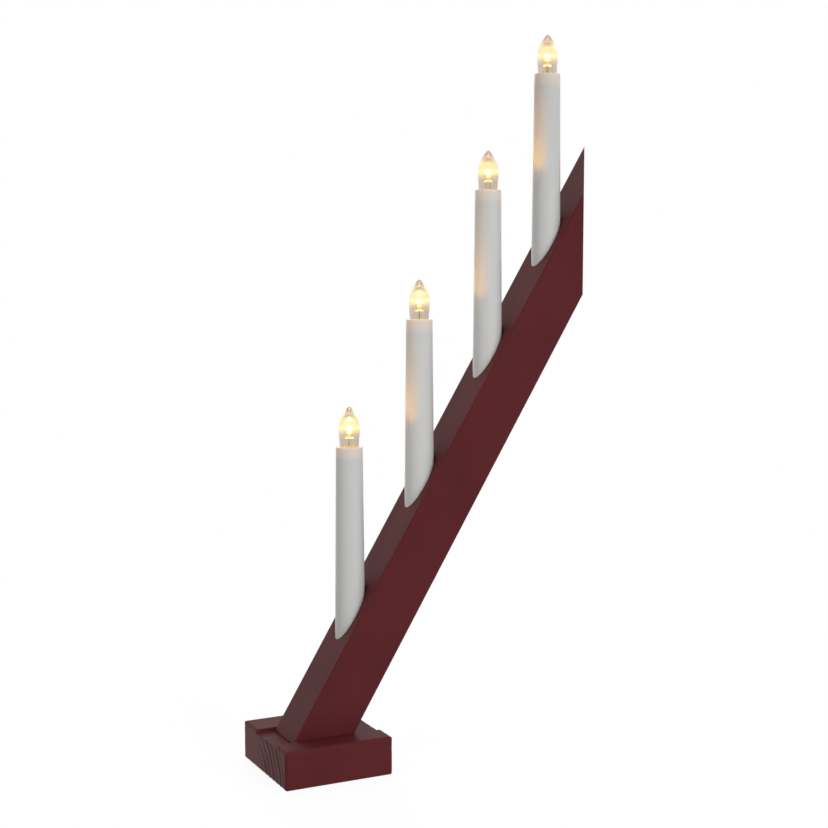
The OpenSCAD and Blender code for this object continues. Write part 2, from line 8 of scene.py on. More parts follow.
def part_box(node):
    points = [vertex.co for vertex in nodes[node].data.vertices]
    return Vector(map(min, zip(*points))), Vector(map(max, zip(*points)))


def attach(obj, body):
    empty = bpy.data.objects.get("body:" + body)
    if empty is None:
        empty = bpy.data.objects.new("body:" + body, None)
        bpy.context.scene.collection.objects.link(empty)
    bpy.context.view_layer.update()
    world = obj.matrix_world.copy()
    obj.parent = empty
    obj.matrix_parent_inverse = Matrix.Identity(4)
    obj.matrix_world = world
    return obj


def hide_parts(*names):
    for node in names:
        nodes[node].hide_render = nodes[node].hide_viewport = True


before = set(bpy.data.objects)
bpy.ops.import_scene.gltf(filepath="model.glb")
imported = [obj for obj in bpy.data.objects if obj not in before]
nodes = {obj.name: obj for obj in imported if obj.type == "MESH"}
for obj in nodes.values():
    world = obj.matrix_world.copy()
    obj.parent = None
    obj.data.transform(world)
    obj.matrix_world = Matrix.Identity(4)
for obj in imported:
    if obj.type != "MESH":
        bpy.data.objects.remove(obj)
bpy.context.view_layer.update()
candleNumbers = (1, 2, 3, 4)
mm = 0.001
slope = math.radians(58.7)  # the beam's slope above the table
print("frame loaded:", len(nodes), "nodes")


# sRGB hex code to linear colour
def hexColor(code):
    values = [int(code[i:i + 2], 16) / 255 for i in (1, 3, 5)]
    linear = [v / 12.92 if v <= 0.04045 else ((v + 0.055) / 1.055) ** 2.4 for v in values]
    return (*linear, 1.0)


# adds a node, then gives each input a value, a link or a list of links
def addNode(tree, kind, inputs=None, **settings):
    node = tree.nodes.new(kind)
    for name, value in settings.items():
        setattr(node, name, value)
    for name, value in (inputs or {}).items():
        for part in value if isinstance(value, list) else [value]:
            if isinstance(part, bpy.types.NodeSocket):
                tree.links.new(part, node.inputs[name])
            else:
                node.inputs[name].default_value = part
    return node


def newMaterial(name):
    material = bpy.data.materials.new(name)
    material.use_nodes = True
    tree = material.node_tree
    tree.nodes.clear()
    return material, tree


# one principled shader and the output of a material
def finishMaterial(tree, values):
    shader = addNode(tree, "ShaderNodeBsdfPrincipled", values)
    addNode(tree, "ShaderNodeOutputMaterial", {"Surface": shader.outputs[0]})


def stops(ramp, *pairs):
    elements = ramp.color_ramp.elements
    while len(elements) < len(pairs):
        elements.new(0.5)
    for element, (place, color) in zip(elements, pairs):
        element.position = place
        element.color = color


def newPiece(name, mesh, material=None):
    piece = bpy.data.objects.new(name, mesh)
    bpy.context.scene.collection.objects.link(piece)
    if material:
        mesh.materials.clear()
        mesh.materials.append(material)
    return piece


def smooth(mesh, angle=35):
    mesh.polygons.foreach_set("use_smooth", [True] * len(mesh.polygons))
    mesh.set_sharp_from_angle(angle=math.radians(angle))


# turned body: profile points are (radius, height) in mm, place is the axis' foot in metres
def turnedMesh(name, profile, sides, place, closed=True, along="z", marks=None):
    verts, rings = [], []
    for r, h in profile:
        count = 1 if r < 1e-6 else sides
        rings.append(list(range(len(verts), len(verts) + count)))
        for k in range(count):
            a = 2 * math.pi * k / sides
            x, y = r * math.cos(a) * mm, r * math.sin(a) * mm
            if along == "z":
                verts.append((place[0] + x, place[1] + y, place[2] + h * mm))
            else:
                verts.append((place[0] + x, place[1] + h * mm, place[2] + y))
    faces = []
    last = len(rings) if closed else len(rings) - 1
    for i in range(last):
        a, b = rings[i], rings[(i + 1) % len(rings)]
        for k in range(sides):
            n = (k + 1) % sides
            if len(a) == 1 and len(b) == 1:
                continue
            if len(a) == 1:
                faces.append((a[0], b[n], b[k]))
            elif len(b) == 1:
                faces.append((a[k], a[n], b[0]))
            else:
                faces.append((a[k], a[n], b[n], b[k]))
    mesh = bpy.data.meshes.new(name)
    mesh.from_pydata(verts, [], faces)
    mesh.update()
    for key, rule in (marks or {}).items():
        layer = mesh.attributes.new(key, "FLOAT", "POINT")
        values = []
        for i, (r, h) in enumerate(profile):
            values += [rule(i, r, h)] * len(rings[i])
        layer.data.foreach_set("value", values)
    work = bmesh.new()
    work.from_mesh(mesh)
    bmesh.ops.recalc_face_normals(work, faces=work.faces)
    work.to_mesh(mesh)
    work.free()
    return mesh


# mark of a turned body's points: their height in mm
def ownHeight(i, r, h):
    return h


# quarter round in steps, as pairs of (1 - cosine, 1 - sine)
def quarterRound(steps):
    angles = [math.radians(90 * k / steps) for k in range(steps + 1)]
    return [(1 - math.cos(a), 1 - math.sin(a)) for a in angles]


# sets a Geometry Nodes modifier's inputs by the identifiers of its sockets
def setInputs(modifier, values):
    for item in modifier.node_group.interface.items_tree:
        if item.item_type == "SOCKET" and item.in_out == "INPUT" and item.name in values:
            modifier[item.identifier] = values[item.name]


def newTree(name, inputs):
    tree = bpy.data.node_groups.new(name, "GeometryNodeTree")
    kinds = {"Geometry": "NodeSocketGeometry", "Finish": "NodeSocketMaterial"}
    tree.interface.new_socket("Geometry", in_out="OUTPUT", socket_type="NodeSocketGeometry")
    for key in inputs:
        kind = kinds.get(key, "NodeSocketFloat")
        tree.interface.new_socket(key, in_out="INPUT", socket_type=kind)
    return tree, addNode(tree, "NodeGroupInput")


# ends a tree with a real mesh in one finish
def endTree(tree, geometry, finish):
    whole = addNode(tree, "GeometryNodeRealizeInstances", {0: geometry})
    done = addNode(tree, "GeometryNodeSetMaterial", {"Geometry": whole.outputs[0], "Material": finish})
    addNode(tree, "NodeGroupOutput", {"Geometry": done.outputs[0]})
    return tree


# a point's way out from an upright axis, its angle round it and its height
def roundAxis(tree, axis):
    spot = addNode(tree, "GeometryNodeInputPosition")
    out = addNode(tree, "ShaderNodeVectorMath", {0: spot.outputs[0], 1: axis}, operation="SUBTRACT")
    flat = addNode(tree, "ShaderNodeVectorMath", {0: out.outputs[0], 1: (1, 1, 0)}, operation="MULTIPLY")
    way = addNode(tree, "ShaderNodeVectorMath", {0: flat.outputs[0]}, operation="NORMALIZE")
    parts = addNode(tree, "ShaderNodeSeparateXYZ", {0: out.outputs[0]})
    angle = addNode(tree, "ShaderNodeMath", {0: parts.outputs[1], 1: parts.outputs[0]},
                    operation="ARCTAN2")
    return way.outputs[0], angle.outputs[0], parts.outputs[2]


# moves points outwards by a wave times the depth, as far as their mark allows
def pushOut(tree, given, way, wave, mark):
    deep = addNode(tree, "ShaderNodeMath", {0: wave, 1: given.outputs["Depth"]}, operation="MULTIPLY")
    weight = addNode(tree, "GeometryNodeInputNamedAttribute", {"Name": mark}, data_type="FLOAT")
    shift = addNode(tree, "ShaderNodeMath", {0: deep.outputs[0], 1: weight.outputs[0]},
                    operation="MULTIPLY")
    move = addNode(tree, "ShaderNodeVectorMath", {0: way, "Scale": shift.outputs[0]}, operation="SCALE")
    return addNode(tree, "GeometryNodeSetPosition", {
        "Geometry": given.outputs["Geometry"], "Offset": move.outputs[0]})


def growOn(piece, tree, values):
    modifier = piece.modifiers.new(tree.name, "NODES")
    modifier.node_group = tree
    setInputs(modifier, values)


# turns what the modifiers make into the piece's own plain mesh
def settle(piece):
    graph = bpy.context.evaluated_depsgraph_get()
    graph.update()
    mesh = bpy.data.meshes.new_from_object(piece.evaluated_get(graph), depsgraph=graph)
    piece.modifiers.clear()
    piece.data = mesh
    mesh.name = piece.name


# ties a piece to the body it moves with, and hides the CAD node it stands for
def place(piece, body, slotName, nodeName):
    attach(piece, body)
    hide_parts(nodeName)


# camera, fitted to the edges of the foot, the beam and the candles
camera = {
    "place": (-404.61, -972.47, 361.42),  # mm
    "yaw": 26.3714,
    "pitch": 5.8147,
    "lens": 65.484,
    "sensor": 36.0,
}
cameraData = bpy.data.cameras.new("camera")
cameraData.lens = camera["lens"]
cameraData.sensor_width = camera["sensor"]
cameraData.clip_start = 0.01
cameraObject = bpy.data.objects.new("camera", cameraData)
cameraObject.location = Vector(camera["place"]) * mm
cameraObject.rotation_euler = (math.radians(90 - camera["pitch"]), 0, -math.radians(camera["yaw"]))
bpy.context.scene.collection.objects.link(cameraObject)
bpy.context.scene.camera = cameraObject
print("camera set")

# studio: pale floor, even white surroundings, two soft lamps and a narrow spot
studio = {
    "floor": "#c0c0be",  # as it lights the object
    "floorGlow": 0.915,  # seen floor near the object, where its shadow falls
    "floorShade": "#7c7c7c",
    "floorFade": (0.12, 0.75),  # metres from the object over which the floor runs into the white
    "surround": 0.34,  # light from all round
    "floorHalf": 8.0,  # metres
    "floorLevel": -0.0001,
    "keyLamp": {"place": (0.6, -2.5, 0.3), "aim": (0.09, 0.0, 0.2), "size": 1.4, "watts": 31},
    "backLamp": {"place": (0.5, 2.4, 0.4), "aim": (0.09, 0.0, 0.22), "size": 1.4, "watts": 24},
    # lights the beam's upper face and the candles' left sides, and leaves the foot alone
    "sideSpot": {"place": (-1.82, -0.87, 2.43), "aim": (0.09, 0.0, 0.25), "size": 0.1, "watts": 56,
                 "cone": 8.0, "edge": 0.3},
}


def isSeen(tree):
    path = addNode(tree, "ShaderNodeLightPath")
    seen = addNode(tree, "ShaderNodeMath", {
        0: path.outputs["Is Camera Ray"], 1: path.outputs["Is Glossy Ray"]}, operation="MAXIMUM")
    return addNode(tree, "ShaderNodeMath", {
        0: seen.outputs[0], 1: path.outputs["Is Transmission Ray"]}, operation="MAXIMUM").outputs[0]


def buildStudio():
    scene = bpy.context.scene
    scene.view_settings.view_transform = "Standard"
    world = bpy.data.worlds.new("studio")
    scene.world = world
    world.use_nodes = True
    tree = world.node_tree
    tree.nodes.clear()
    strength = addNode(tree, "ShaderNodeMapRange", {
        "Value": isSeen(tree), "To Min": studio["surround"], "To Max": 1.0})
    light = addNode(tree, "ShaderNodeBackground", {
        "Color": (1, 1, 1, 1), "Strength": strength.outputs[0]})
    addNode(tree, "ShaderNodeOutputWorld", {"Surface": light.outputs[0]})

    material, tree = newMaterial("paleFloor")
    plain = addNode(tree, "ShaderNodeBsdfDiffuse", {"Color": hexColor(studio["floor"])})
    shade = addNode(tree, "ShaderNodeBsdfDiffuse", {"Color": hexColor(studio["floorShade"])})
    glow = addNode(tree, "ShaderNodeEmission", {"Strength": studio["floorGlow"]})
    near = addNode(tree, "ShaderNodeAddShader", {0: shade.outputs[0], 1: glow.outputs[0]})
    where = addNode(tree, "ShaderNodeTexCoord")
    away = addNode(tree, "ShaderNodeVectorMath", {0: where.outputs["Object"]}, operation="LENGTH")
    far = addNode(tree, "ShaderNodeMapRange", {
        "Value": away.outputs["Value"], "From Min": studio["floorFade"][0],
        "From Max": studio["floorFade"][1]}, interpolation_type="SMOOTHSTEP")
    white = addNode(tree, "ShaderNodeEmission", {"Strength": 1.0})
    shown = addNode(tree, "ShaderNodeMixShader", {
        0: far.outputs[0], 1: near.outputs[0], 2: white.outputs[0]})
    mix = addNode(tree, "ShaderNodeMixShader", {
        0: isSeen(tree), 1: plain.outputs[0], 2: shown.outputs[0]})
    addNode(tree, "ShaderNodeOutputMaterial", {"Surface": mix.outputs[0]})
    half, level = studio["floorHalf"], studio["floorLevel"]
    mesh = bpy.data.meshes.new("floor")
    corners = [(-half, -half, level), (half, -half, level), (half, half, level), (-half, half, level)]
    mesh.from_pydata(corners, [], [(0, 1, 2, 3)])
    newPiece("floor", mesh, material)

    for name in ("keyLamp", "backLamp", "sideSpot"):
        lamp = studio[name]
        data = bpy.data.lights.new(name, "SPOT" if "cone" in lamp else "AREA")
        data.energy = lamp["watts"]
        if "cone" in lamp:
            data.spot_size = math.radians(lamp["cone"])
            data.spot_blend = lamp["edge"]
            data.shadow_soft_size = lamp["size"]
        else:
            data.shape = "DISK"
            data.size = lamp["size"]
        lampObject = bpy.data.objects.new(name, data)
        lampObject.location = lamp["place"]
        aim = Vector(lamp["aim"]) - Vector(lamp["place"])
        lampObject.rotation_euler = aim.to_track_quat("-Z", "Y").to_euler()
        lampObject.visible_glossy = False
        lampObject.visible_transmission = False
        scene.collection.objects.link(lampObject)


buildStudio()
print("studio built")

# painted spruce: satin burgundy paint, thin enough to show the straight grain
paint = {
    # the foot's set is a little lighter and duller than the beam's: painted light from the bright floor
    # close below it
    "foot": ("#5f2427", "#65292c", "#6b2e31"),  # thick, middling and thin coat
    "beam": ("#591f22", "#5f2327", "#65282c"),
    "tonePlaces": (0.3, 0.5, 0.72),
    "groove": "#2e0d10",  # painted shade in the growth rings' grooves, where the coat also lies thicker
    "roughness": (0.46, 0.56),
    "footGloss": 0.13,
    "beamGloss": 0.17,
    "grainWidth": 1.3,  # mm across the grain
    "grainLength": 90.0,  # mm along it
    "cloud": 45.0,  # mm, soft unevenness of the coat
    "bump": 0.04,  # mm
}


def paintedSpruce(name, turn, tones, gloss):
    material, tree = newMaterial(name)
    where = addNode(tree, "ShaderNodeTexCoord")
    straight = addNode(tree, "ShaderNodeMapping", {
        "Vector": where.outputs["Object"], "Rotation": (0, turn, 0)})
    across = 1 / (paint["grainWidth"] * mm)
    stretched = addNode(tree, "ShaderNodeMapping", {
        "Vector": straight.outputs[0], "Scale": (1 / (paint["grainLength"] * mm), across, across)})
    grain = addNode(tree, "ShaderNodeTexNoise", {
        "Vector": stretched.outputs[0], "Scale": 1.0, "Detail": 4.0, "Roughness": 0.55})
    cloud = addNode(tree, "ShaderNodeTexNoise", {
        "Vector": straight.outputs[0], "Scale": 1 / (paint["cloud"] * mm), "Detail": 2.0})
    tone = addNode(tree, "ShaderNodeMath", {
        0: grain.outputs[0], 1: cloud.outputs[0]}, operation="ADD")
    mean = addNode(tree, "ShaderNodeMath", {0: tone.outputs[0], 1: 0.5}, operation="MULTIPLY")
    ramp = addNode(tree, "ShaderNodeValToRGB", {"Fac": mean.outputs[0]})
    stops(ramp, *zip(paint["tonePlaces"], [hexColor(code) for code in tones]))
    rough = addNode(tree, "ShaderNodeMapRange", {
        "Value": grain.outputs[0], "From Min": 0.3, "From Max": 0.7,
        "To Min": paint["roughness"][0], "To Max": paint["roughness"][1]})
    bump = addNode(tree, "ShaderNodeBump", {
        "Height": grain.outputs[0], "Strength": 0.5, "Distance": paint["bump"] * mm})
    # the colour darkens in the growth rings' grooves: painted shade, and the thicker coat there
    ring = addNode(tree, "ShaderNodeAttribute", attribute_name="ringGroove")
    color = addNode(tree, "ShaderNodeMix", {
        0: ring.outputs["Fac"], 6: ramp.outputs[0], 7: hexColor(paint["groove"])}, data_type="RGBA")
    finishMaterial(tree, {
        "Base Color": color.outputs[2], "Roughness": rough.outputs[0],
        "Specular IOR Level": gloss, "Normal": bump.outputs[0]})
    return material


# moulded polypropylene of the candles: white, softly glossy, warm where the bulb's light soaks in
candle = {
    "white": "#e6e6e5",
    "shade": "#e1e1e0",
    "warm": "#eedfcf",  # the plastic where the bulb's light soaks into it
    "glow": "#ffd6ac",
    "glowLevel": 0.17,
    "rimLevel": 0.45,  # light on the flat rim and in its recess, close under the bulb
    "warmth": ((0.0, 1.0), (1.2, 0.8), (2.0, 0.5), (6.0, 0.42), (9.5, 0.0)),  # mm below the rim
    "roughness": 0.3,
    "markWidth": 2.0,  # mm, faint marks drawn along the sleeve by the mould
    "markLength": 80.0,
    "bump": 0.05,  # mm
    "sides": 128,
}


def candlePlastic():
    material, tree = newMaterial("mouldedCandlePlastic")
    where = addNode(tree, "ShaderNodeTexCoord")
    across = 1 / (candle["markWidth"] * mm)
    drawn = addNode(tree, "ShaderNodeMapping", {
        "Vector": where.outputs["Object"], "Scale": (across, across, 1 / (candle["markLength"] * mm))})
    marks = addNode(tree, "ShaderNodeTexNoise", {
        "Vector": drawn.outputs[0], "Scale": 1.0, "Detail": 3.0})
    color = addNode(tree, "ShaderNodeMix", {
        0: marks.outputs[0], 6: hexColor(candle["white"]), 7: hexColor(candle["shade"])}, data_type="RGBA")
    bump = addNode(tree, "ShaderNodeBump", {
        "Height": marks.outputs[0], "Strength": 0.15, "Distance": candle["bump"] * mm})
    depth = addNode(tree, "ShaderNodeAttribute", attribute_name="belowRim")
    reach = candle["warmth"][-1][0]
    share = addNode(tree, "ShaderNodeMapRange", {"Value": depth.outputs["Fac"], "From Max": reach})
    warmth = addNode(tree, "ShaderNodeValToRGB", {"Fac": share.outputs[0]})
    stops(warmth, *[(d / reach, (s, s, s, 1)) for d, s in candle["warmth"]])
    warmed = addNode(tree, "ShaderNodeMix", {
        0: warmth.outputs[0], 6: color.outputs[2], 7: hexColor(candle["warm"])}, data_type="RGBA")
    glow = addNode(tree, "ShaderNodeMath", {
        0: warmth.outputs[0], 1: candle["glowLevel"]}, operation="MULTIPLY")
    under = addNode(tree, "ShaderNodeAttribute", attribute_name="underBulb")
    light = addNode(tree, "ShaderNodeMath", {
        0: under.outputs["Fac"], 1: candle["rimLevel"], 2: glow.outputs[0]}, operation="MULTIPLY_ADD")
    finishMaterial(tree, {
        "Base Color": warmed.outputs[2], "Roughness": candle["roughness"], "IOR": 1.49,
        "Emission Color": hexColor(candle["glow"]), "Emission Strength": light.outputs[0],
        "Normal": bump.outputs[0]})
    return material


# clear acrylic of the flame-shaped bulbs: see-through, pale amber where the LED's light fills it, which is
# painted into its colour and glow
bulb = {
    "shape": [  # height above the rim and diameter, mm
        (-0.9, 13.0), (0.0, 13.74), (5.7, 14.35), (10.3, 15.1), (13.7, 14.8), (17.1, 13.7),
        (20.2, 11.8), (23.5, 8.3), (26.1, 4.7), (28.1, 1.8), (28.5, 0.0)],
    "wall": 0.9,
    "tip": 5.5,  # solid acrylic above the hollow
    "dome": 4.5,  # height over which the hollow closes
    "hole": 4.15,
    "floor": 1.2,
    "flutes": 40,
    "fluteDepth": 0.16,
    "fluteFade": (2.0, 4.0),  # mm over which the flutes run out below and above
    "sides": 360,
    "curveSteps": 6,  # rows between two points of the shape
    "innerRows": 48,
    "ior": 1.2,  # below the real 1.49, so that the small solid tip stays calm
    "paintedLightTint": (  # height above the rim, and colour there: painted light where the LED fills the acrylic, painted shade below it and in the solid tip
        (0.0, "#e0d8cd"), (6.0, "#e2d9cd"), (9.0, "#ede0cf"), (12.0, "#fcf4d6"), (20.0, "#fcf4d6"),
        (23.0, "#e2ccb0"), (25.2, "#c8ae9e"), (26.8, "#ccb49e"), (28.5, "#d0b07c")),
    "edge": "#d2b27a",  # painted amber light where one looks along the wall
    "edgeFrom": 0.5,
    "edgeFull": 0.9,
    "edgeShare": 0.7,
    "glow": (  # height above the rim, and light that leaves there
        (8.0, "#000000"), (12.0, "#3c2c12"), (13.4, "#6e5828"), (15.0, "#30240e"), (24.0, "#20170a"),
        (28.5, "#181006")),
    "beamHeights": (16.6, 18.0, 20.0, 22.6),  # where the LED's beam meets the inner wall
    "beamSpread": 30.0,
    "beamColor": "#fff4d2",
    # for each bulb the way its beam leans, in degrees, and its strength
    "beams": {1: (64, 1.4), 2: (60, 1.0), 3: (150, 0.15), 4: (-26, 0.5)},
}


def clearAcrylic():
    material, tree = newMaterial("clearAcrylic")
    height = addNode(tree, "ShaderNodeAttribute", attribute_name="aboveRim")
    top = bulb["shape"][-1][0]
    share = addNode(tree, "ShaderNodeMapRange", {"Value": height.outputs["Fac"], "From Max": top})
    # colour by height: painted light at the LED's height, painted shade below it and in the tip
    paintedLightTint = addNode(tree, "ShaderNodeValToRGB", {"Fac": share.outputs[0]})
    stops(paintedLightTint, *[(h / top, hexColor(code)) for h, code in bulb["paintedLightTint"]])
    glow = addNode(tree, "ShaderNodeValToRGB", {"Fac": share.outputs[0]})
    stops(glow, *[(h / top, hexColor(code)) for h, code in bulb["glow"]])
    # painted light: the outline turns amber where one looks along the wall
    side = addNode(tree, "ShaderNodeLayerWeight", {"Blend": 0.5})
    along = addNode(tree, "ShaderNodeMapRange", {
        "Value": side.outputs["Facing"], "From Min": bulb["edgeFrom"], "From Max": bulb["edgeFull"],
        "To Max": bulb["edgeShare"]})
    clear = addNode(tree, "ShaderNodeMix", {
        0: along.outputs[0], 6: paintedLightTint.outputs[0], 7: hexColor(bulb["edge"])}, data_type="RGBA")
    beam = addNode(tree, "ShaderNodeAttribute", attribute_name="beam")
    lit = addNode(tree, "ShaderNodeVectorMath", {
        0: beam.outputs["Vector"], 1: hexColor(bulb["beamColor"])[:3], 2: glow.outputs[0]},
        operation="MULTIPLY_ADD")
    finishMaterial(tree, {
        "Base Color": clear.outputs[2], "Roughness": 0.0, "IOR": bulb["ior"], "Transmission Weight": 1.0,
        "Emission Color": lit.outputs[0], "Emission Strength": 1.0})
    return material


# LED: clear resin whose round end glows, with an amber cup and a bright chip inside
led = {
    "bottom": 5.7,
    "flange": (5.8, 1.0),  # diameter and height
    "lens": 5.0,
    "height": 8.7,
    "round": 0.15,
    "rows": 8,
    "domeRows": 12,
    "sides": 48,
    "coreSides": 32,
    "core": [(6.9, 1.5), (8.6, 1.5), (9.0, 2.0), (10.2, 2.0), (10.9, 0.0)],  # height and diameter
    "resin": "#fbeecb",
    "lensTones": (  # share of the height, colour, strength
        (0.0, "#f0c890", 0.15), (0.05, "#ffe0b0", 0.3), (0.06, "#ffeec8", 0.7), (0.11, "#ffeec8", 0.7),
        (0.13, "#e8a040", 0.05), (0.62, "#f0b860", 0.1), (0.76, "#ffe8a8", 2.2), (0.88, "#fff6d8", 4.0)),
    "coreTones": (
        (0.1, "#e09838", 0.5), (0.38, "#f0ae48", 0.7), (0.47, "#fff0c0", 3.0)),
}


def ledResin():
    material, tree = newMaterial("litLedResin")
    height = addNode(tree, "ShaderNodeAttribute", attribute_name="aboveRim")
    inside = addNode(tree, "ShaderNodeAttribute", attribute_name="core")
    share = addNode(tree, "ShaderNodeMapRange", {
        "Value": height.outputs["Fac"], "From Min": led["bottom"],
        "From Max": led["bottom"] + led["height"]})
    lights = []
    for tones in (led["lensTones"], led["coreTones"]):
        most = max(strength for at, code, strength in tones)
        ramp = addNode(tree, "ShaderNodeValToRGB", {"Fac": share.outputs[0]})
        stops(ramp, *[(at, (*[c * strength / most for c in hexColor(code)[:3]], 1))
                      for at, code, strength in tones])
        lights.append(addNode(tree, "ShaderNodeVectorMath", {
            0: ramp.outputs[0], "Scale": most}, operation="SCALE").outputs[0])
    light = addNode(tree, "ShaderNodeMix", {
        0: inside.outputs["Fac"], 6: lights[0], 7: lights[1]}, data_type="RGBA")
    clear = addNode(tree, "ShaderNodeMath", {0: 1.0, 1: inside.outputs["Fac"]}, operation="SUBTRACT")
    finishMaterial(tree, {
        "Base Color": hexColor(led["resin"]), "Roughness": 0.05, "IOR": 1.5,
        "Transmission Weight": clear.outputs[0],
        "Emission Color": light.outputs[2], "Emission Strength": 1.0})
    return material


# plain finishes of the metal, plastic and felt pieces: colour, metallic, roughness and grit in mm,
# which is drawn coarse enough to show
plainFinishes = {
    "sawnSteel": ("#83868a", 1.0, 0.42, 0.8),  # dull grey bar
    "zincSteel": ("#c4c7cb", 1.0, 0.3, 0.5),  # bright, cool plating
    "pressedBrass": ("#c9a24b", 1.0, 0.28, 0.6),  # yellow, softly bright
    "goldWire": ("#d8b45c", 1.0, 0.3, 0.3),  # thin warm line in the bulb
    "nickelPlate": ("#d2cdc0", 1.0, 0.22, 0.5),  # warm white shine
    "tinSolder": ("#b9bdc2", 1.0, 0.35, 0.4),  # grey drop
    "holderMoulding": ("#ece9df", 0.0, 0.5, 0.4),  # off-white, half matt
    "blackMoulding": ("#1d1d1f", 0.0, 0.45, 0.3),  # black with a fine grain
    "whiteInsulation": ("#dcdcd6", 0.0, 0.5, 0.4),  # soft, half matt PVC
    "greyInsulation": ("#8c8f93", 0.0, 0.5, 0.4),
    "resistorLacquer": ("#b9a06a", 0.0, 0.4, 0.4),  # beige, softly glossy
    "pressedFelt": ("#3a2124", 0.0, 0.95, 0.35),  # dark wool, no shine
}
gritLook = {"darkest": 0.86, "roughness": 0.15, "bump": 0.03}  # shares, and mm of relief


def plainFinish(name):
    code, metallic, roughness, grit = plainFinishes[name]
    material, tree = newMaterial(name)
    where = addNode(tree, "ShaderNodeTexCoord")
    spots = addNode(tree, "ShaderNodeTexNoise", {
        "Vector": where.outputs["Object"], "Scale": 1 / (grit * mm), "Detail": 3.0})
    base = hexColor(code)
    ramp = addNode(tree, "ShaderNodeValToRGB", {"Fac": spots.outputs[0]})
    stops(ramp, (0.3, (*[c * gritLook["darkest"] for c in base[:3]], 1)), (0.7, base))
    vary = gritLook["roughness"]
    rough = addNode(tree, "ShaderNodeMapRange", {
        "Value": spots.outputs[0], "From Min": 0.3, "From Max": 0.7,
        "To Min": roughness * (1 - vary), "To Max": min(1.0, roughness * (1 + vary))})
    bump = addNode(tree, "ShaderNodeBump", {
        "Height": spots.outputs[0], "Strength": 0.2, "Distance": gritLook["bump"] * mm})
    finishMaterial(tree, {
        "Base Color": ramp.outputs[0], "Metallic": metallic, "Roughness": rough.outputs[0],
        "Normal": bump.outputs[0]})
    return material


# nickel plated sheet of the caps, whose lip takes up the LED's warm light
capGlow = {"from": -2.2, "to": -0.6, "color": "#ffe0b4", "level": 0.7}  # heights in mm


def litNickel():
    material = plainFinish("nickelPlate")
    material.name = "litNickelPlate"
    tree = material.node_tree
    height = addNode(tree, "ShaderNodeAttribute", attribute_name="aboveRim")
    glow = addNode(tree, "ShaderNodeMapRange", {
        "Value": height.outputs["Fac"], "From Min": capGlow["from"], "From Max": capGlow["to"],
        "To Max": capGlow["level"]})
    shader = tree.nodes["Principled BSDF"]
    shader.inputs["Emission Color"].default_value = hexColor(capGlow["color"])
    tree.links.new(glow.outputs[0], shader.inputs["Emission Strength"])
    return material


finishes = {name: plainFinish(name) for name in plainFinishes}
finishes["litNickel"] = litNickel()
finishes["footPaint"] = paintedSpruce("paintedSpruceFoot", 0.0, paint["foot"], paint["footGloss"])
finishes["beamPaint"] = paintedSpruce("paintedSpruceBeam", slope, paint["beam"], paint["beamGloss"])
finishes["candlePlastic"] = candlePlastic()
finishes["clearAcrylic"] = clearAcrylic()
finishes["ledResin"] = ledResin()
print("finishes made:", len(finishes))

# finishes of the CAD nodes that show as they are, or lie inside
nodeFinishes = {
    "foot_block": "footPaint", "beam": "beamPaint", "channel_cover": "beamPaint",
    "ballast_block": "sawnSteel", "base_felt": "pressedFelt", "clamp_screws": "zincSteel",
    "cover_screws": "zincSteel", "inlet_body": "blackMoulding", "inlet_pin": "pressedBrass",
    "inlet_sleeve": "pressedBrass", "supply_lead": "greyInsulation", "lead_crimps": "holderMoulding",
    "candle_sleeve": "candlePlastic", "lampholder": "holderMoulding", "screw_shell": "pressedBrass",
    "centre_contact": "pressedBrass", "candle_lead": "whiteInsulation", "bulb_envelope": "clearAcrylic",
    "bulb_cap": "nickelPlate", "cap_insulator": "blackMoulding", "solder_contact": "tinSolder",
    "led": "ledResin", "led_leads": "goldWire", "bulb_resistor": "resistorLacquer",
}
for nodeName, nodeObject in nodes.items():
    stem = nodeName if nodeName in nodeFinishes else nodeName.rsplit("_", 1)[0]
    nodeObject.data.materials.clear()
    nodeObject.data.materials.append(finishes[nodeFinishes[stem]])


# middle of a candle's rim, in metres
def rimOf(number):
    low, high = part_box(f"candle_sleeve_{number}")
    return Vector(((low.x + high.x) / 2, (low.y + high.y) / 2, high.z))


# candle sleeves: tapered, with a rounded rim, a recess and an end plate with the bulb's hole
sleeve = {
    "length": 148.0, "rim": 9.6, "foot": 10.9, "wall": 1.0, "round": 0.4,
    "recess": 7.6, "recessDepth": 1.2, "plate": 1.2, "hole": 5.25, "rows": 24, "roundSteps": 8,
}  # radii and heights, mm


def buildSleeve(number):
    s = sleeve
    taper = (s["foot"] - s["rim"]) / s["length"]
    profile = []
    for k in range(s["rows"]):
        h = -s["length"] + (s["length"] - s["round"]) * k / s["rows"]
        profile.append((s["rim"] - taper * h, h))
    corner = quarterRound(s["roundSteps"])
    profile += [(s["rim"] - s["round"] * a, -s["round"] * b) for a, b in corner]
    profile += [(s["recess"] + s["round"] * b, -s["round"] * a) for a, b in corner]
    under = -s["recessDepth"] - s["plate"]
    slack = 0.01
    profile += [(s["recess"], -s["recessDepth"]), (s["hole"], -s["recessDepth"]), (s["hole"], under)]
    profile += [(s["rim"] - taper * under - s["wall"], under), (s["foot"] - s["wall"], -s["length"])]

    def underBulb(i, r, h):
        onTop = r <= s["rim"] - s["round"] + slack and h >= -s["recessDepth"] - slack
        return 1.0 if onTop else 0.0

    mesh = turnedMesh(f"candleSleeve{number}", profile, candle["sides"], rimOf(number),
                      marks={"belowRim": lambda i, r, h: -h, "underBulb": underBulb})
    smooth(mesh)
    piece = newPiece(f"candleSleeve{number}", mesh, finishes["candlePlastic"])
    place(piece, "base", "candle_plastic", f"candle_sleeve_{number}")


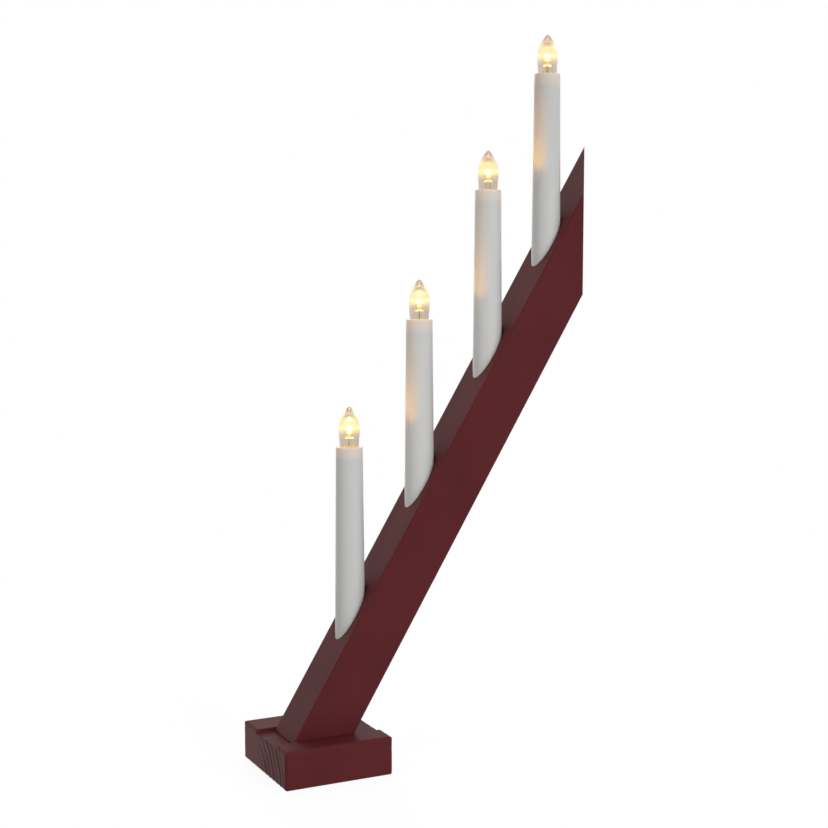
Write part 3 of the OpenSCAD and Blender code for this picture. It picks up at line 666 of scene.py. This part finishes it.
# point of a smooth curve through all the points, t counts from the first one
def smoothCurve(points, t):
    k = min(int(t), len(points) - 2)
    t -= k
    a, b, c, d = [points[max(0, min(len(points) - 1, j))] for j in (k - 1, k, k + 1, k + 2)]
    return tuple((2 * q + (r - p) * t + (2 * p - 5 * q + 4 * r - s) * t * t
                  + (3 * q - p - 3 * r + s) * t ** 3) / 2 for p, q, r, s in zip(a, b, c, d))


# flutes: upright waves on the inner wall, which spread the light sideways
def fluteTree():
    tree, given = newTree("flutes", [
        "Geometry", "Axis X", "Axis Y", "Count", "Depth", "Beam Way", "Beam Spread", "Beam Strength",
        "Finish"])
    axis = addNode(tree, "ShaderNodeCombineXYZ", {0: given.outputs["Axis X"], 1: given.outputs["Axis Y"]})
    way, angle = roundAxis(tree, axis.outputs[0])[:2]
    turns = addNode(tree, "ShaderNodeMath", {0: angle, 1: given.outputs["Count"]}, operation="MULTIPLY")
    wave = addNode(tree, "ShaderNodeMath", {0: turns.outputs[0]}, operation="COSINE")
    raised = addNode(tree, "ShaderNodeMath", {0: wave.outputs[0], 1: -0.5, 2: -0.5},
                     operation="MULTIPLY_ADD")
    moved = pushOut(tree, given, way, raised.outputs[0], "fluted")
    aside = addNode(tree, "ShaderNodeMath", {0: angle, 1: given.outputs["Beam Way"]}, operation="SUBTRACT")
    toward = addNode(tree, "ShaderNodeMath", {0: aside.outputs[0]}, operation="COSINE")
    facing = addNode(tree, "ShaderNodeMath", {0: toward.outputs[0], 1: 0.5, 2: 0.5},
                     operation="MULTIPLY_ADD")
    patch = addNode(tree, "ShaderNodeMath", {0: facing.outputs[0], 1: given.outputs["Beam Spread"]},
                    operation="POWER")
    level = addNode(tree, "GeometryNodeInputNamedAttribute", {"Name": "beam"}, data_type="FLOAT")
    reach = addNode(tree, "ShaderNodeMath", {0: patch.outputs[0], 1: level.outputs[0]},
                    operation="MULTIPLY")
    shine = addNode(tree, "ShaderNodeMath", {0: reach.outputs[0], 1: given.outputs["Beam Strength"]},
                    operation="MULTIPLY")
    lit = addNode(tree, "GeometryNodeStoreNamedAttribute", {
        "Geometry": moved.outputs[0], "Name": "beam", "Value": shine.outputs[0]},
        data_type="FLOAT", domain="POINT")
    return endTree(tree, lit.outputs[0], given.outputs["Finish"])


flutes = fluteTree()


def buildEnvelope(number):
    b = bulb
    steps = b["curveSteps"]
    outer = []
    for k in range((len(b["shape"]) - 1) * steps + 1):
        h, d = smoothCurve(b["shape"], k / steps)
        outer.append((max(0.0, d / 2), h))
    outer[-1] = (0.0, b["shape"][-1][0])
    top = b["shape"][-1][0] - b["tip"]
    floor = b["shape"][0][0] + b["floor"]
    dome = b["dome"]
    fadeBelow, fadeAbove = b["fluteFade"]

    def outerAt(h):
        for (r0, h0), (r1, h1) in zip(outer, outer[1:]):
            if h0 <= h <= h1:
                return r0 + (r1 - r0) * (h - h0) / max(1e-9, h1 - h0)
        return 0.0

    inner = []
    for k in range(b["innerRows"] + 1):
        h = top + (floor - top) * k / b["innerRows"]
        rise = max(0.0, h - top + dome) / dome
        inner.append(((outerAt(h) - b["wall"]) * math.sqrt(max(0.0, 1 - rise * rise)), h))
    inner[0] = (0.0, top)
    hollow = range(len(outer), len(outer) + len(inner))
    profile = outer + inner + [(b["hole"], floor), (b["hole"], b["shape"][0][0])]

    def fluted(i, r, h):
        share = max(0.0, min(1.0, (h - floor) / fadeBelow, (top - dome - h) / fadeAbove))
        return share if i in hollow else 0.0

    def beam(i, r, h):
        low, full, fading, high = b["beamHeights"]
        share = max(0.0, min(1.0, (h - low) / (full - low), (high - h) / (high - fading)))
        return share if i in hollow else 0.0

    rim = rimOf(number)
    mesh = turnedMesh(f"bulbEnvelope{number}", profile, b["sides"], rim,
                      marks={"aboveRim": ownHeight, "fluted": fluted, "beam": beam})
    smooth(mesh, 50)
    piece = newPiece(f"bulbEnvelope{number}", mesh)
    piece.visible_shadow = False  # lets the LED's light out
    way, strength = b["beams"][number]
    growOn(piece, flutes, {
        "Axis X": rim.x, "Axis Y": rim.y, "Count": float(b["flutes"]), "Depth": b["fluteDepth"] * mm,
        "Beam Way": math.radians(way), "Beam Spread": b["beamSpread"], "Beam Strength": strength,
        "Finish": finishes["clearAcrylic"]})
    settle(piece)
    place(piece, f"bulb_{number}", "clear_plastic", f"bulb_envelope_{number}")


def buildLed(number):
    bottom, radius = led["bottom"], led["lens"] / 2
    flangeR, flangeH = led["flange"][0] / 2, led["flange"][1]
    shoulder = bottom + led["height"] - radius
    soft, rows, domeRows = led["round"], led["rows"], led["domeRows"]
    profile = [(0.0, bottom), (flangeR - soft, bottom), (flangeR, bottom + soft)]
    profile += [(flangeR, bottom + flangeH - soft), (flangeR - soft, bottom + flangeH)]
    for k in range(rows + 1):
        profile.append((radius, bottom + flangeH + (shoulder - bottom - flangeH) * k / rows))
    for k in range(1, domeRows + 1):
        a = math.radians(90 * k / domeRows)
        profile.append((radius * math.cos(a), shoulder + radius * math.sin(a)))
    profile[-1] = (0.0, bottom + led["height"])
    mesh = turnedMesh(f"ledLens{number}", profile, led["sides"], rimOf(number), closed=False,
                      marks={"aboveRim": ownHeight, "core": lambda i, r, h: 0.0})
    core = [(0.0, led["core"][0][0])] + [(d / 2, h) for h, d in led["core"]]
    coreMesh = turnedMesh("ledCore", core, led["coreSides"], rimOf(number), closed=False,
                          marks={"aboveRim": ownHeight, "core": lambda i, r, h: 1.0})
    work = bmesh.new()
    work.from_mesh(mesh)
    work.from_mesh(coreMesh)
    work.to_mesh(mesh)
    work.free()
    bpy.data.meshes.remove(coreMesh)
    smooth(mesh)
    piece = newPiece(f"ledLens{number}", mesh, finishes["ledResin"])
    piece.visible_shadow = False  # the bulb's light sits in it
    place(piece, f"bulb_{number}", "led_resin", f"led_{number}")


# bulb caps: thin sheet with a rolled thread, and a lip that holds the envelope
cap = {
    "collar": -0.9, "bottom": -11.5, "threadTop": -1.4, "mid": 4.5, "lip": 4.05, "lipTop": 0.3,
    "lipRound": 0.1, "bore": 3.85, "pitch": 1.814, "depth": 0.25, "runOut": 0.9, "rows": 84, "sides": 72,
}  # radii and heights above the rim, mm


# thread: a wave that climbs round the cap by its pitch
def threadTree():
    tree, given = newTree("rolledThread", [
        "Geometry", "Axis X", "Axis Y", "Rim Z", "Pitch", "Depth", "Finish"])
    rim = addNode(tree, "ShaderNodeCombineXYZ", {
        0: given.outputs["Axis X"], 1: given.outputs["Axis Y"], 2: given.outputs["Rim Z"]})
    way, angle, height = roundAxis(tree, rim.outputs[0])
    turns = addNode(tree, "ShaderNodeMath", {0: height, 1: given.outputs["Pitch"]}, operation="DIVIDE")
    climb = addNode(tree, "ShaderNodeMath", {0: turns.outputs[0], 1: 2 * math.pi}, operation="MULTIPLY")
    phase = addNode(tree, "ShaderNodeMath", {0: climb.outputs[0], 1: angle}, operation="SUBTRACT")
    wave = addNode(tree, "ShaderNodeMath", {0: phase.outputs[0]}, operation="COSINE")
    moved = pushOut(tree, given, way, wave.outputs[0], "threaded")
    return endTree(tree, moved.outputs[0], given.outputs["Finish"])


rolledThread = threadTree()


def buildCap(number):
    c = cap
    span = c["threadTop"] - c["bottom"]

    def share(h):
        return max(0.0, min(1.0, (h - c["bottom"]) / c["runOut"], (c["threadTop"] - h) / c["runOut"]))

    profile = []
    for k in range(c["rows"] + 1):
        h = c["bottom"] + span * k / c["rows"]
        profile.append((c["mid"] - c["depth"] * (1 - share(h)), h))
    soft = c["lipRound"]
    profile += [(c["mid"], c["collar"]), (c["lip"], c["collar"]), (c["lip"], c["lipTop"] - soft)]
    profile += [(c["lip"] - soft, c["lipTop"]), (c["bore"], c["lipTop"]), (c["bore"], c["collar"])]
    profile += [(c["bore"], c["bottom"])]

    def threaded(i, r, h):
        return share(h) if i <= c["rows"] else 0.0

    rim = rimOf(number)
    mesh = turnedMesh(f"bulbCap{number}", profile, c["sides"], rim,
                      marks={"aboveRim": ownHeight, "threaded": threaded})
    smooth(mesh, 50)
    piece = newPiece(f"bulbCap{number}", mesh)
    growOn(piece, rolledThread, {
        "Axis X": rim.x, "Axis Y": rim.y, "Rim Z": rim.z, "Pitch": c["pitch"] * mm,
        "Depth": c["depth"] * mm, "Finish": finishes["litNickel"]})
    settle(piece)
    place(piece, f"bulb_{number}", "nickel", f"bulb_cap_{number}")


# warm light that each LED throws upwards, and so on the candle beside it
bulbLight = {
    "height": 12.2, "size": 3.0,  # mm
    "watts": 0.046, "color": "#ffb728", "cone": 180.0, "edge": 0.24,
}


def lightBulb(number):
    data = bpy.data.lights.new(f"bulbLight{number}", "SPOT")
    data.spot_size = math.radians(bulbLight["cone"])
    data.spot_blend = bulbLight["edge"]
    data.shadow_soft_size = bulbLight["size"] / 2 * mm
    data.energy = bulbLight["watts"]
    data.color = hexColor(bulbLight["color"])[:3]
    lampObject = bpy.data.objects.new(f"bulbLight{number}", data)
    lampObject.location = rimOf(number) + Vector((0, 0, bulbLight["height"] * mm))
    lampObject.rotation_euler = (math.pi, 0, 0)
    lampObject.visible_camera = False
    lampObject.parent = bpy.data.objects[f"ledLens{number}"]  # rises with the bulb
    bpy.context.scene.collection.objects.link(lampObject)


for number in candleNumbers:
    buildSleeve(number)
    buildEnvelope(number)
    buildLed(number)
    buildCap(number)
    lightBulb(number)
print("candles and bulbs built")

# foot block: growth rings sunk in its end grain and, faintly, in its top; sizes in mm
footGrain = {
    "voxel": 0.7,
    "Ring Spacing": 6.6,
    "Pith Y": 30.0,
    "Pith Z": -11.0,
    "End Depth": 0.6,
    "Top Depth": 0.08,
    "Wobble": 4.0,
    "Calm From": -8.0,  # the rings fade between these places from front to back
    "Calm To": 14.0,
}
ringLook = {
    "waver": (10, 60, 60),  # per metre: 100 mm along the grain and about 17 mm across
    "sharpness": 3.0,
    "weakest": 0.1,  # share of the depth in a poor year
    "calmest": 0.12,  # share left at the back
}


def growthRingTree():
    tree, given = newTree("growthRings", [
        "Geometry", "Ring Spacing", "Pith Y", "Pith Z", "End Depth", "Top Depth", "Wobble",
        "Calm From", "Calm To", "Finish"])
    spot = addNode(tree, "GeometryNodeInputPosition")
    parts = addNode(tree, "ShaderNodeSeparateXYZ", {0: spot.outputs[0]})
    pith = addNode(tree, "ShaderNodeCombineXYZ", {1: given.outputs["Pith Y"], 2: given.outputs["Pith Z"]})
    out = addNode(tree, "ShaderNodeVectorMath", {0: spot.outputs[0], 1: pith.outputs[0]},
                  operation="SUBTRACT")
    flat = addNode(tree, "ShaderNodeVectorMath", {0: out.outputs[0], 1: (0, 1, 1)}, operation="MULTIPLY")
    far = addNode(tree, "ShaderNodeVectorMath", {0: flat.outputs[0]}, operation="LENGTH")
    stretched = addNode(tree, "ShaderNodeVectorMath", {0: spot.outputs[0], 1: ringLook["waver"]},
                        operation="MULTIPLY")
    waver = addNode(tree, "ShaderNodeTexNoise", {
        "Vector": stretched.outputs[0], "Scale": 1.0, "Detail": 2.0})
    sway = addNode(tree, "ShaderNodeMath", {
        0: waver.outputs[0], 1: given.outputs["Wobble"], 2: far.outputs["Value"]},
        operation="MULTIPLY_ADD")
    rings = addNode(tree, "ShaderNodeMath", {0: sway.outputs[0], 1: given.outputs["Ring Spacing"]},
                    operation="DIVIDE")
    turn = addNode(tree, "ShaderNodeMath", {0: rings.outputs[0], 1: 2 * math.pi}, operation="MULTIPLY")
    wave = addNode(tree, "ShaderNodeMath", {0: turn.outputs[0]}, operation="COSINE")
    half = addNode(tree, "ShaderNodeMath", {0: wave.outputs[0], 1: 0.5, 2: 0.5}, operation="MULTIPLY_ADD")
    narrow = addNode(tree, "ShaderNodeMath", {0: half.outputs[0], 1: ringLook["sharpness"]},
                     operation="POWER")
    year = addNode(tree, "ShaderNodeMath", {0: rings.outputs[0]}, operation="ROUND")
    growth = addNode(tree, "ShaderNodeTexWhiteNoise", {"W": year.outputs[0]}, noise_dimensions="1D")
    strength = addNode(tree, "ShaderNodeMapRange", {
        "Value": growth.outputs["Value"], "To Min": ringLook["weakest"], "To Max": 1.0})
    groove = addNode(tree, "ShaderNodeMath", {0: narrow.outputs[0], 1: strength.outputs[0]},
                     operation="MULTIPLY")
    facing = addNode(tree, "GeometryNodeInputNormal")
    sides = addNode(tree, "ShaderNodeVectorMath", {0: facing.outputs[0], 1: facing.outputs[0]},
                    operation="MULTIPLY")
    share = addNode(tree, "ShaderNodeSeparateXYZ", {0: sides.outputs[0]})
    calm = addNode(tree, "ShaderNodeMapRange", {
        "Value": parts.outputs[1], "From Min": given.outputs["Calm From"],
        "From Max": given.outputs["Calm To"], "To Min": 1.0, "To Max": ringLook["calmest"]},
        interpolation_type="SMOOTHSTEP")
    ends = addNode(tree, "ShaderNodeMath", {0: share.outputs[0], 1: given.outputs["End Depth"]},
                   operation="MULTIPLY")
    endDepth = addNode(tree, "ShaderNodeMath", {0: ends.outputs[0], 1: calm.outputs[0]},
                       operation="MULTIPLY")
    depth = addNode(tree, "ShaderNodeMath", {
        0: share.outputs[2], 1: given.outputs["Top Depth"], 2: endDepth.outputs[0]},
        operation="MULTIPLY_ADD")
    sunk = addNode(tree, "ShaderNodeMath", {0: groove.outputs[0], 1: depth.outputs[0]},
                   operation="MULTIPLY")
    back = addNode(tree, "ShaderNodeMath", {0: sunk.outputs[0], 1: -1.0}, operation="MULTIPLY")
    move = addNode(tree, "ShaderNodeVectorMath", {0: facing.outputs[0], "Scale": back.outputs[0]},
                   operation="SCALE")
    # painted shade of the grooves: the deeper a point is sunk, the darker its colour
    dark = addNode(tree, "ShaderNodeMath", {0: sunk.outputs[0], 1: given.outputs["End Depth"]},
                   operation="DIVIDE")
    marked = addNode(tree, "GeometryNodeStoreNamedAttribute", {
        "Geometry": given.outputs["Geometry"], "Name": "ringGroove", "Value": dark.outputs[0]},
        data_type="FLOAT", domain="POINT")
    moved = addNode(tree, "GeometryNodeSetPosition", {
        "Geometry": marked.outputs[0], "Offset": move.outputs[0]})
    return endTree(tree, moved.outputs[0], given.outputs["Finish"])


def buildFoot():
    mesh = nodes["foot_block"].data.copy()
    work = bmesh.new()
    work.from_mesh(mesh)
    bmesh.ops.remove_doubles(work, verts=work.verts, dist=1e-6)
    work.to_mesh(mesh)
    work.free()
    piece = newPiece("footBlock", mesh, finishes["footPaint"])
    fine = piece.modifiers.new("fineMesh", "REMESH")
    fine.mode = "VOXEL"
    fine.voxel_size = footGrain["voxel"] * mm
    fine.use_smooth_shade = True
    values = {key: size * mm for key, size in footGrain.items() if key != "voxel"}
    values["Finish"] = finishes["footPaint"]
    growOn(piece, growthRingTree(), values)
    settle(piece)
    place(piece, "base", "painted_wood", "foot_block")
    print("foot faces:", len(piece.data.polygons))


buildFoot()
print("foot built")

# cover screws: countersunk heads with a cross recess, flush with the channel's cover
coverScrew = {
    "Head Radius": 2.4, "Head Height": 1.2, "Shank Radius": 1.2, "Tip Radius": 0.2, "Length": 12.0,
    "Cross Length": 2.7, "Cross Width": 0.55, "Cross Depth": 0.8,
}  # mm
screwRows = 3


def screwTree():
    tree, given = newTree("crossHeadScrews", ["Geometry", *coverScrew, "Tilt", "Finish"])
    size = given.outputs
    head = addNode(tree, "GeometryNodeMeshCone", {
        "Vertices": 40, "Radius Top": size["Head Radius"], "Radius Bottom": size["Shank Radius"],
        "Depth": size["Head Height"]})
    sunk = addNode(tree, "ShaderNodeMath", {0: size["Head Height"], 1: -1.0}, operation="MULTIPLY")
    headPlace = addNode(tree, "ShaderNodeCombineXYZ", {2: sunk.outputs[0]})
    cut = addNode(tree, "GeometryNodeTransform", {
        "Geometry": head.outputs["Mesh"], "Translation": headPlace.outputs[0]})
    deep = addNode(tree, "ShaderNodeMath", {0: size["Cross Depth"], 1: 2.0}, operation="MULTIPLY")
    for along, wide in (("Cross Length", "Cross Width"), ("Cross Width", "Cross Length")):
        bar = addNode(tree, "ShaderNodeCombineXYZ", {0: size[along], 1: size[wide], 2: deep.outputs[0]})
        cutter = addNode(tree, "GeometryNodeMeshCube", {"Size": bar.outputs[0]})
        cut = addNode(tree, "GeometryNodeMeshBoolean", {
            "Mesh 1": cut.outputs[0], "Mesh 2": cutter.outputs["Mesh"]}, operation="DIFFERENCE")
    below = addNode(tree, "ShaderNodeMath", {0: size["Length"], 1: size["Head Height"]},
                    operation="SUBTRACT")
    shank = addNode(tree, "GeometryNodeMeshCone", {
        "Vertices": 24, "Radius Top": size["Shank Radius"], "Radius Bottom": size["Tip Radius"],
        "Depth": below.outputs[0]})
    end = addNode(tree, "ShaderNodeMath", {0: size["Length"], 1: -1.0}, operation="MULTIPLY")
    shankPlace = addNode(tree, "ShaderNodeCombineXYZ", {2: end.outputs[0]})
    stem = addNode(tree, "GeometryNodeTransform", {
        "Geometry": shank.outputs["Mesh"], "Translation": shankPlace.outputs[0]})
    screw = addNode(tree, "GeometryNodeJoinGeometry", {"Geometry": [cut.outputs[0], stem.outputs[0]]})
    turn = addNode(tree, "ShaderNodeCombineXYZ", {1: size["Tilt"]})
    screws = addNode(tree, "GeometryNodeInstanceOnPoints", {
        "Points": size["Geometry"], "Instance": screw.outputs[0], "Rotation": turn.outputs[0]})
    return endTree(tree, screws.outputs[0], size["Finish"])


def buildCoverScrews():
    upBeam = Vector((math.cos(slope), 0, math.sin(slope)))
    under = Vector((math.sin(slope), 0, -math.cos(slope)))
    spots = [v.co for v in nodes["cover_screws"].data.vertices]
    low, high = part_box("cover_screws")
    r = coverScrew["Head Radius"] * mm
    first, last = min(p.dot(upBeam) for p in spots) + r, max(p.dot(upBeam) for p in spots) - r
    face = max(p.dot(under) for p in spots)
    heads = []
    for k in range(screwRows):
        u = first + (last - first) * k / (screwRows - 1)
        heads += [upBeam * u + under * face + Vector((0, y, 0)) for y in (low.y + r, high.y - r)]
    mesh = bpy.data.meshes.new("coverScrews")
    mesh.from_pydata(heads, [], [])
    piece = newPiece("coverScrews", mesh)
    values = {key: size * mm for key, size in coverScrew.items()}
    values.update({"Tilt": math.pi - slope, "Finish": finishes["zincSteel"]})
    growOn(piece, screwTree(), values)
    settle(piece)
    place(piece, "base", "screw_steel", "cover_screws")


buildCoverScrews()
print("cover screws set")

# felt pad under the weight: soft edge, uneven nap on the side that stands on the table
felt = {"cells": 56, "edge": 0.35, "nap": 0.12, "napSize": 1.6}  # cells a side, mm


def buildFelt():
    low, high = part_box("base_felt")
    n = felt["cells"]
    work = bmesh.new()
    layers = []
    for z, side in ((low.z, 1), (high.z, 0)):
        layer = {}
        for i in range(n + 1):
            for j in range(n + 1):
                x = low.x + (high.x - low.x) * i / n
                y = low.y + (high.y - low.y) * j / n
                rim = i in (0, n) or j in (0, n)
                lift = felt["edge"] * rim + felt["nap"] * (0.5 + 0.5 * noise.noise(
                    Vector((x, y, 0)) / (felt["napSize"] * mm)))
                layer[i, j] = work.verts.new((x, y, z + side * lift * mm))
        layers.append(layer)
    for layer, turned in zip(layers, (True, False)):
        for i in range(n):
            for j in range(n):
                corners = [layer[i, j], layer[i + 1, j], layer[i + 1, j + 1], layer[i, j + 1]]
                work.faces.new(corners[::-1] if turned else corners)
    below, above = layers
    edge = [(i, 0) for i in range(n)] + [(n, j) for j in range(n)]
    edge += [(i, n) for i in range(n, 0, -1)] + [(0, j) for j in range(n, 0, -1)]
    for a, b in zip(edge, edge[1:] + edge[:1]):
        work.faces.new((below[a], below[b], above[b], above[a]))
    mesh = bpy.data.meshes.new("feltPad")
    work.to_mesh(mesh)
    work.free()
    smooth(mesh, 60)
    piece = newPiece("feltPad", mesh, finishes["pressedFelt"])
    place(piece, "base", "felt", "base_felt")


buildFelt()

# supply inlet: black moulded barrel with a round-edged flange
inlet = {
    "barrel": 4.5, "flange": 6.5, "flangeThick": 1.5, "round": 0.5, "bore": 3.18, "chamfer": 0.3,
    "roundSteps": 6, "sides": 64,
}  # radii and lengths, mm


def buildInlet():
    low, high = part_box("inlet_body")
    f = inlet
    length = (high.y - low.y) / mm
    profile = [(f["bore"], -length), (f["barrel"], -length), (f["barrel"], -f["flangeThick"])]
    profile += [(f["flange"], -f["flangeThick"])]
    profile += [(f["flange"] - f["round"] * a, -f["round"] * b) for a, b in quarterRound(f["roundSteps"])]
    profile += [(f["bore"] + f["chamfer"], 0.0), (f["bore"], -f["chamfer"])]
    axis = Vector(((low.x + high.x) / 2, high.y, (low.z + high.z) / 2))
    mesh = turnedMesh("inletBody", profile, f["sides"], axis, along="y")
    smooth(mesh)
    piece = newPiece("inletBody", mesh, finishes["blackMoulding"])
    place(piece, "base", "black_plastic", "inlet_body")


buildInlet()
print("felt and inlet built")

print("pieces done")
